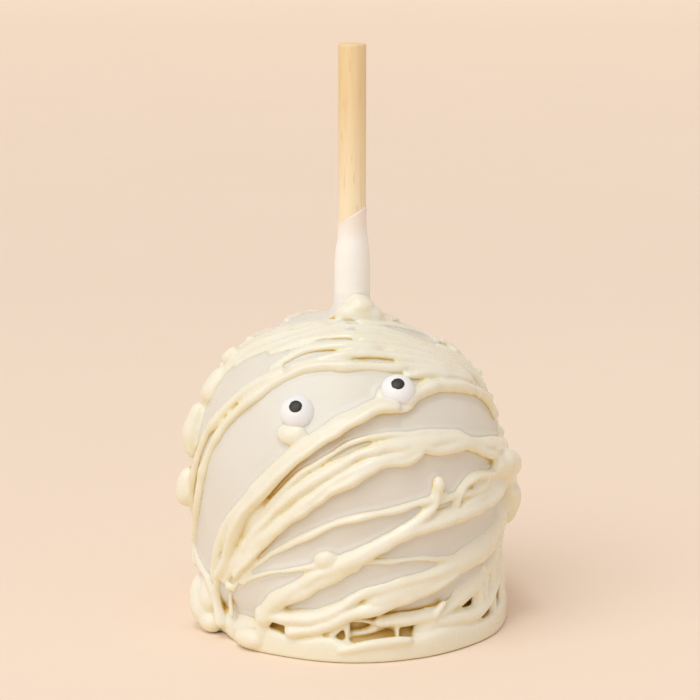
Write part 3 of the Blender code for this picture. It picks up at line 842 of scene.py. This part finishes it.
class Graph:
    """A material's nodes, added and joined with one call each."""

    def __init__(self, name):
        self.material = bpy.data.materials.new(name)
        self.material.use_nodes = True
        self.tree = self.material.node_tree
        self.shader = self.tree.nodes["Principled BSDF"]

    def add(self, kind, values=(), **settings):
        """A node with these settings. Each value is a number, a colour or another node's output."""
        node = self.tree.nodes.new("ShaderNode" + kind)
        for key, value in settings.items():
            setattr(node, key, value)
        for key, value in dict(values).items():
            self.feed(node.inputs[key], value)
        return node

    def feed(self, socket, value):
        if isinstance(value, bpy.types.NodeSocket):
            self.tree.links.new(value, socket)
        else:
            socket.default_value = value

    def place(self):
        """Where a point is in the object, in metres."""
        return self.add("TexCoord").outputs["Object"]

    def noise(self, size, detail=2.0, stretch=(1, 1, 1)):
        """Smooth noise whose patches are about this size, in metres."""
        mapping = self.add("Mapping", {"Vector": self.place(), "Scale": [s / size for s in stretch]})
        values = {"Vector": mapping.outputs[0], "Scale": 1.0, "Detail": detail, "Roughness": 0.5}
        return self.add("TexNoise", values).outputs["Fac"]

    def mix(self, factor, first, second, blend="MIX"):
        node = self.add("Mix", data_type="RGBA", blend_type=blend)
        self.feed(node.inputs["Factor"], factor)
        self.feed(node.inputs["A"], first)
        self.feed(node.inputs["B"], second)
        return node.outputs["Result"]

    def cloud_colour(self, share, colour, tint):
        """A colour that goes over to a tinted one as the share goes from 0 to 1."""
        return self.mix(share, colour, [c * t for c, t in zip(colour, (*tint, 1))])

    def axis(self, name):
        """How far along one axis a point is, in metres."""
        return self.add("SeparateXYZ", {0: self.place()}).outputs[name]

    def math(self, operation, first, second=0.0):
        node = self.add("Math", {0: first, 1: second}, operation=operation)
        return node.outputs[0]

    def span(self, value, low, high, to_low=0.0, to_high=1.0):
        """The value as a share of the way from low to high, held between the two ends."""
        node = self.add("MapRange", {0: value, 1: low, 2: high, 3: to_low, 4: to_high})
        return node.outputs[0]

    def attribute(self, name):
        return self.add("Attribute", attribute_name=name).outputs["Fac"]

    def bump(self, height, strength, distance):
        values = {"Height": height, "Strength": strength, "Distance": distance}
        return self.add("Bump", values).outputs["Normal"]

    def surface(self, **values):
        """Sets the shader's sockets, whose names are written with underscores."""
        for key, value in values.items():
            self.feed(self.shader.inputs[key.replace("_", " ")], value)


# Where a finish changes: heights on the stick between which its wood is soaked, how far under the collar's top
# the thin film starts and is complete, and over what length the collar whitens
SOAKED_TOP, SOAKED_FULLY = 0.122, 0.098
FILM_START, FILM_FULLY = 0.0058, 0.0015
CLIMB_LENGTH = 0.006


def drizzle_chocolate(colour):
    """Satin white chocolate, with painted golden shade where light reaches it only through its neighbours."""
    g = Graph("drizzled_white_chocolate")
    mottle = g.noise(0.006, detail=3.0)
    crease_shade = g.attribute("crease_shade")
    hollow_shade = g.attribute("hollow_shade")
    tone = g.cloud_colour(g.span(mottle, 0.35, 0.7), colour.drizzle, (0.99, 0.97, 0.92))
    # painted shade: chocolate that faces down is tinted towards the golden crease shade colour
    facing_up = g.add("SeparateXYZ", {0: g.add("NewGeometry").outputs["Normal"]}).outputs["Z"]
    painted_underside_shade = g.span(facing_up, 0.2, -0.9)
    tone = g.mix(g.math("MULTIPLY", painted_underside_shade, 0.4), tone, colour.crease_shade)
    # painted shade: golden in creases and dark golden brown in hollows, from the shelter masks
    tone = g.mix(g.span(crease_shade, 0.05, 0.36), tone, colour.crease_shade)
    tone = g.mix(g.span(hollow_shade, 0.28, 0.56), tone, colour.hollow_shade)
    grain = g.noise(0.0009, detail=3.0)
    relief = g.bump(grain, 0.12, 0.00012)
    g.surface(
        Base_Color=tone, Roughness=g.span(mottle, 0.2, 0.8, 0.2, 0.32), Normal=relief, Subsurface_Weight=0.25,
        Subsurface_Radius=(0.0012, 0.0010, 0.0008), Subsurface_Scale=1.0, IOR=1.46)
    return g.material


def coat_chocolate(colour, size):
    """Smooth ivory coating, clouded, with painted golden shade in its creases, blushed where it thins out over
    the stick.
    """
    g = Graph("white_chocolate_coating")
    cloud = g.noise(0.02, detail=3.0)
    crease_shade = g.attribute("crease_shade")
    hollow_shade = g.attribute("hollow_shade")
    height = g.axis("Z")
    tone = g.cloud_colour(g.span(cloud, 0.3, 0.7), colour.coat, (0.97, 0.96, 0.93))
    # painted shade: golden in creases and dark golden brown in hollows, from the shelter masks
    tone = g.mix(g.span(crease_shade, 0.12, 0.45), tone, colour.crease_shade)
    tone = g.mix(g.span(hollow_shade, 0.28, 0.56), tone, colour.hollow_shade)
    film = g.span(height, size.collar_top - FILM_START, size.collar_top - FILM_FULLY)
    climbing = g.span(height, COLLAR_START, COLLAR_START + CLIMB_LENGTH)
    tone = g.mix(climbing, tone, colour.collar)
    tone = g.mix(film, tone, colour.blush)
    relief = g.bump(g.noise(0.0008, detail=3.0), 0.08, 0.0001)
    g.surface(
        Base_Color=tone, Roughness=g.span(cloud, 0.2, 0.8, 0.38, 0.5), Normal=relief, Subsurface_Weight=0.2,
        Subsurface_Radius=(0.002, 0.0014, 0.0008), Subsurface_Scale=1.0, IOR=1.46)
    return g.material


def birch(colour):
    """Pale wood with fine grain lines that run up the stick, and flecks."""
    g = Graph("birch_dowel")
    wide = g.noise(0.0016, detail=2.0, stretch=(1, 1, 0.035))
    fine = g.noise(0.00045, detail=3.0, stretch=(1, 1, 0.05))
    fleck = g.noise(0.0009, detail=2.0, stretch=(1, 1, 0.25))
    lines = g.math("MULTIPLY", g.span(fine, 0.5, 0.72), g.span(wide, 0.35, 0.65))
    tone = g.cloud_colour(g.span(wide, 0.35, 0.7), colour.wood, (0.97, 0.93, 0.86))
    height = g.axis("Z")
    tone = g.mix(g.span(height, SOAKED_TOP, SOAKED_FULLY), tone, colour.dipped_wood)
    tone = g.mix(g.math("MULTIPLY", lines, 0.55), tone, colour.grain)
    tone = g.mix(g.math("MULTIPLY", g.span(fleck, 0.62, 0.72), 0.35), tone, colour.grain)
    relief = g.bump(fine, 0.25, 0.0001)
    g.surface(Base_Color=tone, Roughness=g.span(wide, 0.3, 0.7, 0.5, 0.62), Normal=relief, IOR=1.45)
    return g.material


def sugar(colour):
    """Hard, slightly waxy white sugar."""
    g = Graph("white_sugar")
    cloud = g.noise(0.003, detail=2.0)
    tone = g.cloud_colour(g.span(cloud, 0.3, 0.7), colour.sugar, (0.98, 0.98, 0.98))
    relief = g.bump(g.noise(0.0007, detail=2.0), 0.06, 0.0001)
    g.surface(
        Base_Color=tone, Roughness=0.34, Normal=relief, Subsurface_Weight=0.15,
        Subsurface_Radius=(0.001, 0.001, 0.0009), Subsurface_Scale=1.0, IOR=1.5)
    return g.material


def pupil_sugar(colour):
    """Black sugar with a faint grain."""
    g = Graph("black_sugar")
    speck = g.noise(0.00035, detail=2.0)
    tone = g.mix(g.span(speck, 0.45, 0.75), colour.pupil, [c * 2.2 + 0.004 for c in colour.pupil])
    relief = g.bump(speck, 0.3, 0.00008)
    g.surface(Base_Color=tone, Roughness=0.45, Normal=relief, IOR=1.5)
    return g.material


def paper(colour):
    """Matt paper with faint clouds and fibres, and painted shade that darkens it towards the back."""
    g = Graph("seamless_paper")
    cloud = g.noise(0.12, detail=4.0)
    fibre = g.noise(0.0025, detail=3.0)
    depth = g.axis("Y")
    # painted shade: the paper goes over to a darker colour towards the back of the stage
    tone = g.mix(g.span(depth, -0.1, 0.45), colour.paper, colour.shaded_far_paper)
    shade = g.math("ADD", g.math("MULTIPLY", cloud, 0.4), g.math("MULTIPLY", fibre, 0.3))
    tone = g.mix(shade, tone, (0.95, 0.935, 0.92, 1.0), blend="MULTIPLY")
    g.surface(Base_Color=tone, Roughness=0.95, Specular_IOR_Level=0.1)
    return g.material


# The stage

SWEEP_WIDTH = 14.0
SWEEP_FRONT, SWEEP_BACK = -1.6, 1.8
SWEEP_BEND = 0.9
SWEEP_TOP = 2.6
SWEEP_COLUMNS = 9


def sweep_sheet():
    """A floor that bends up into a wall, as rows of points across it."""
    rows = [(y, 0.0) for y in np.linspace(SWEEP_FRONT, SWEEP_BACK, 12)]
    for tilt in np.radians(np.linspace(0, 90, 24)[1:]):
        rows.append((SWEEP_BACK + SWEEP_BEND * sin(tilt), SWEEP_BEND * (1 - cos(tilt))))
    rows.append((SWEEP_BACK + SWEEP_BEND, SWEEP_TOP))
    columns = np.linspace(-SWEEP_WIDTH / 2, SWEEP_WIDTH / 2, SWEEP_COLUMNS)
    vertices = [(x, y, z) for y, z in rows for x in columns]
    faces = []
    for row in range(len(rows) - 1):
        for column in range(SWEEP_COLUMNS - 1):
            corner = row * SWEEP_COLUMNS + column
            above = corner + SWEEP_COLUMNS
            faces.append((corner, corner + 1, above + 1, above))
    return vertices, faces


# Lamps: the way the light travels, the strength, and how many degrees across the lamp looks
LAMPS = {
    "soft_key": ((0.54, 0.70, -0.84), 1.25, 56.0),
    "overhead_glint": ((0.12, 0.3, -1.0), 0.42, 12.0),
}
LAMP_COLOUR = (0.975, 1.0, 1.0)
SKY_STRENGTH = 0.59
SKY_COLOUR = (1.0, 0.925, 0.85)
CAMERA_PLACE = Vector((0.0, -0.613, 0.186))
CAMERA_AIM = Vector((-0.0005, 0.0, 0.0636))
CAMERA_LENS = 139.0


def add_lights():
    for name, (direction, strength, spread) in LAMPS.items():
        lamp = bpy.data.lights.new(name, "SUN")
        lamp.energy = strength
        lamp.angle = radians(spread)
        lamp.color = LAMP_COLOUR
        light = bpy.data.objects.new(name, lamp)
        light.rotation_euler = Vector(direction).to_track_quat("-Z", "Y").to_euler()
        bpy.context.scene.collection.objects.link(light)
    world = bpy.data.worlds.new("soft_room")
    world.use_nodes = True
    sky = world.node_tree.nodes["Background"]
    sky.inputs["Color"].default_value = (*SKY_COLOUR, 1.0)
    sky.inputs["Strength"].default_value = SKY_STRENGTH
    bpy.context.scene.world = world


def add_camera(context):
    lens = bpy.data.cameras.new("front_camera")
    lens.lens = CAMERA_LENS
    lens.sensor_width = 36.0
    lens.clip_start = 0.01
    camera = bpy.data.objects.new("front_camera", lens)
    camera.location = CAMERA_PLACE
    camera.rotation_euler = (CAMERA_AIM - CAMERA_PLACE).to_track_quat("-Z", "Y").to_euler()
    context.scene.collection.objects.link(camera)
    context.scene.camera = camera
    context.scene.view_settings.view_transform = "Standard"


# Settings that a maker would change


def length_property(name, description, default, least):
    return bpy.props.FloatProperty(
        name=name, description=description, default=default, min=least, subtype="DISTANCE", unit="LENGTH")


class ToffeeAppleSizes(bpy.types.PropertyGroup):
    coat_waviness: length_property(
        "Coat Waviness", "Height of the soft swells left as the coating set", 0.00022, 0.0)
    collar_radius: length_property(
        "Collar Radius", "Outer radius of the chocolate round the foot of the stick", 0.0041, 0.0033)
    collar_top: length_property(
        "Collar Top", "Middle height where the chocolate on the stick ends", 0.0953, 0.08)
    melt_size: length_property(
        "Melt Size", "Size at which crossing strands of drizzle run together", 0.00034, 0.0002)
    drizzle_wander: length_property(
        "Drizzle Wander", "How far a strand strays sideways from its path", 0.00035, 0.0)
    eye_radius: length_property("Eye Radius", "Radius of a sugar eye", 0.0039, 0.002)
    eye_height: length_property("Eye Height", "Height of a sugar eye over the coat", 0.0034, 0.001)
    pupil_radius: length_property(
        "Pupil Radius", "Radius of the black disc in a sugar eye", 0.00148, 0.0005)


def colour_property(name, description, default):
    return bpy.props.FloatVectorProperty(
        name=name, description=description, default=(*default, 1.0),
        size=4, min=0.0, max=1.0, subtype="COLOR")


class ToffeeAppleColours(bpy.types.PropertyGroup):
    coat: colour_property("Coat", "Smooth white chocolate coating", (0.785, 0.76, 0.70))
    drizzle: colour_property("Drizzle", "Drizzled white chocolate", (0.86, 0.835, 0.725))
    # painted shade colours: golden for creases and undersides, dark golden brown deep in gaps
    crease_shade: colour_property("Crease", "Chocolate in a shallow crease", (0.93, 0.79, 0.32))
    hollow_shade: colour_property("Hollow", "Chocolate deep inside a gap", (0.70, 0.47, 0.12))
    blush: colour_property("Blush", "Thin film of chocolate over the wood", (0.93, 0.83, 0.76))
    sugar: colour_property("Sugar", "Hard white sugar of the eyes", (0.89, 0.895, 0.92))
    pupil: colour_property("Pupil", "Black sugar of the pupils", (0.018, 0.013, 0.009))
    collar: colour_property("Collar", "Chocolate that climbs the stick", (0.95, 0.925, 0.885))
    wood: colour_property("Wood", "Pale wood of the stick", (0.875, 0.68, 0.40))
    dipped_wood: colour_property("Dipped Wood", "Wood soaked with the chocolate's fat", (0.94, 0.80, 0.56))
    grain: colour_property("Grain", "Darker grain lines of the stick", (0.70, 0.46, 0.22))
    paper: colour_property("Paper", "Seamless paper under the apple", (0.94, 0.79, 0.67))
    # painted shade: the same paper, darker towards the back of the stage
    shaded_far_paper: colour_property("Far Paper", "Seamless paper at the back of the stage", (0.86, 0.73, 0.62))


# Operators


def sizes(context):
    return context.scene.toffee_apple_sizes


def colours(context):
    return context.scene.toffee_apple_colours


class TOFFEEAPPLE_OT_drizzle(bpy.types.Operator):
    """Run the drizzled strands over the apple and melt them into one web"""

    bl_idname = "toffee_apple.drizzle"
    bl_label = "Drizzle"

    def execute(self, context):
        size = sizes(context)
        piece = new_piece("drizzle_web", *drizzle_shell(size))
        melt(piece, size.melt_size)
        coat = coat_shell(size, COARSE_COAT)
        mark_shelter(piece.data, [(read_vertices(piece.data), read_faces(piece.data)), coat])
        piece.data.materials.append(drizzle_chocolate(colours(context)))
        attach(piece, "root")
        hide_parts("drizzle")
        return {"FINISHED"}


class TOFFEEAPPLE_OT_coat(bpy.types.Operator):
    """Make the smooth coating with its pooled foot and its collar on the stick"""

    bl_idname = "toffee_apple.coat"
    bl_label = "Coat"

    def execute(self, context):
        if "drizzle_web" not in bpy.data.objects:
            raise RuntimeError("the coat's creases need the drizzle: make the drizzle first")
        web = bpy.data.objects["drizzle_web"].data
        vertices, faces = coat_shell(sizes(context), FINE_COAT)
        vertices = with_meniscus(vertices, web)
        piece = new_piece("coating", vertices, faces)
        mark_shelter(piece.data, [(vertices, faces), (read_vertices(web), read_faces(web))])
        piece.data.materials.append(coat_chocolate(colours(context), sizes(context)))
        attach(piece, "root")
        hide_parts("coated_apple")
        return {"FINISHED"}


class TOFFEEAPPLE_OT_stick(bpy.types.Operator):
    """Make the wooden stick"""

    bl_idname = "toffee_apple.stick"
    bl_label = "Stick"

    def execute(self, context):
        piece = new_piece("wooden_stick", *stick_shell())
        piece.data.set_sharp_from_angle(angle=radians(40))
        piece.data.materials.append(birch(colours(context)))
        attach(piece, "root")
        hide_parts("stick")
        return {"FINISHED"}


class TOFFEEAPPLE_OT_eyes(bpy.types.Operator):
    """Make the two sugar eyes and their pupils"""

    bl_idname = "toffee_apple.eyes"
    bl_label = "Sugar Eyes"

    def execute(self, context):
        size = sizes(context)
        white = sugar(colours(context))
        black = pupil_sugar(colours(context))
        for side, seat in EYES.items():
            stand = eye_stand(*seat)
            button = turned_piece("sugar_eye_" + side, eye_profile(size), EYE_SIDES)
            name = "sugar_pupil_" + side
            pupil = turned_piece(name, pupil_profile(size), EYE_SIDES, roughen=PUPIL_ROUGHNESS)
            for piece, node, material, slot in (
                (button, "eye_" + side, white, "sugar_white"),
                (pupil, "pupil_" + side, black, "sugar_black"),
            ):
                piece.data.transform(stand)
                piece.data.materials.append(material)
                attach(piece, "root")
                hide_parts(node)
        return {"FINISHED"}


class TOFFEEAPPLE_OT_stage(bpy.types.Operator):
    """Set up the seamless paper, the soft lights and the camera"""

    bl_idname = "toffee_apple.stage"
    bl_label = "Stage"

    def execute(self, context):
        backdrop = new_piece("paper_sweep", *sweep_sheet())
        backdrop.data.materials.append(paper(colours(context)))
        add_lights()
        add_camera(context)
        return {"FINISHED"}


class TOFFEEAPPLE_PT_panel(bpy.types.Panel):
    """Lists the operators and the settings"""

    bl_idname = "TOFFEEAPPLE_PT_panel"
    bl_label = "Toffee Apple"
    bl_space_type = "VIEW_3D"
    bl_region_type = "UI"
    bl_category = "Toffee Apple"

    def draw(self, context):
        for operator in OPERATORS:
            self.layout.operator(operator.bl_idname)
        for settings in (sizes(context), colours(context)):
            box = self.layout.box()
            for name in settings.__annotations__:
                box.prop(settings, name)


OPERATORS = (
    TOFFEEAPPLE_OT_stage,
    TOFFEEAPPLE_OT_drizzle,
    TOFFEEAPPLE_OT_coat,
    TOFFEEAPPLE_OT_stick,
    TOFFEEAPPLE_OT_eyes,
)
CLASSES = (ToffeeAppleSizes, ToffeeAppleColours, *OPERATORS, TOFFEEAPPLE_PT_panel)


def register():
    for made in CLASSES:
        bpy.utils.register_class(made)
    bpy.types.Scene.toffee_apple_sizes = bpy.props.PointerProperty(type=ToffeeAppleSizes)
    bpy.types.Scene.toffee_apple_colours = bpy.props.PointerProperty(type=ToffeeAppleColours)


def unregister():
    del bpy.types.Scene.toffee_apple_colours
    del bpy.types.Scene.toffee_apple_sizes
    for made in reversed(CLASSES):
        bpy.utils.unregister_class(made)


def main():
    register()
    bpy.ops.toffee_apple.stage()
    bpy.ops.toffee_apple.drizzle()
    bpy.ops.toffee_apple.coat()
    bpy.ops.toffee_apple.stick()
    bpy.ops.toffee_apple.eyes()


if __name__ == "__main__":
    main()
